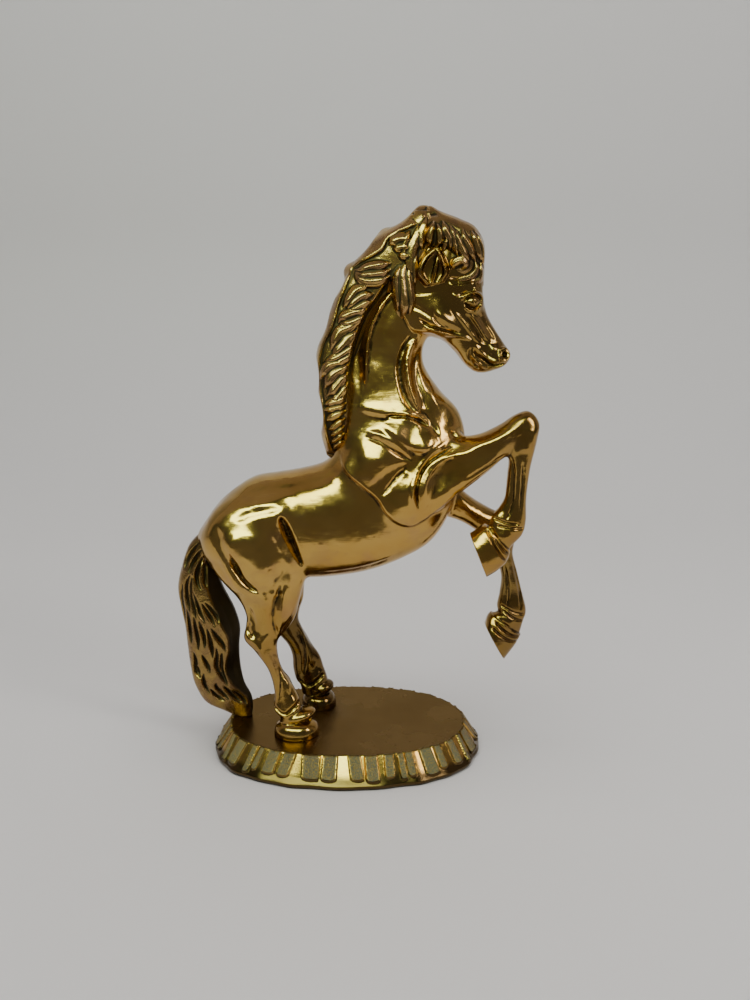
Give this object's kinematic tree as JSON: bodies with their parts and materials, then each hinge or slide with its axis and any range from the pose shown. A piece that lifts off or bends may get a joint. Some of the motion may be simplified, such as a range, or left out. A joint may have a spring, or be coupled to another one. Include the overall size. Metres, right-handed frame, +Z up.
{
  "type": "rearing horse statue",
  "caption": "Brass rearing horse on an oval fluted base, cast in separate pieces, fitted, brazed and screwed together; stands on its rim.",
  "frame": {"origin": "on the table under the middle of the whole outline, on the horse's middle plane", "axes": "+X the way the horse faces, +Y the horse's left side, +Z up"},
  "size_m": [0.181, 0.0978, 0.2762],
  "materials": {
    "polished_brass": "polished, lightly tarnished",
    "patinated_brass": "polished high points over dark brown patina",
    "base_brass": "satin top, dark granular flutes with polished ridges",
    "fixing_steel": "plain turned",
    "fixing_brass": "plain turned"
  },
  "bodies": {
    "root": {"base": "base_brass", "body_right_half": "polished_brass", "body_left_half": "polished_brass", "head": "polished_brass", "forelock": "patinated_brass", "mane": "patinated_brass", "tail": "patinated_brass", "foreleg_right": "polished_brass", "foreleg_left": "polished_brass", "hind_leg_right": "polished_brass", "hind_leg_left": "polished_brass", "body_pins": "fixing_steel", "neck_dowel": "fixing_steel", "hoof_screws": "fixing_steel", "screw_washers": "fixing_brass", "tail_rivet": "fixing_brass"}
  },
  "joints": []
}
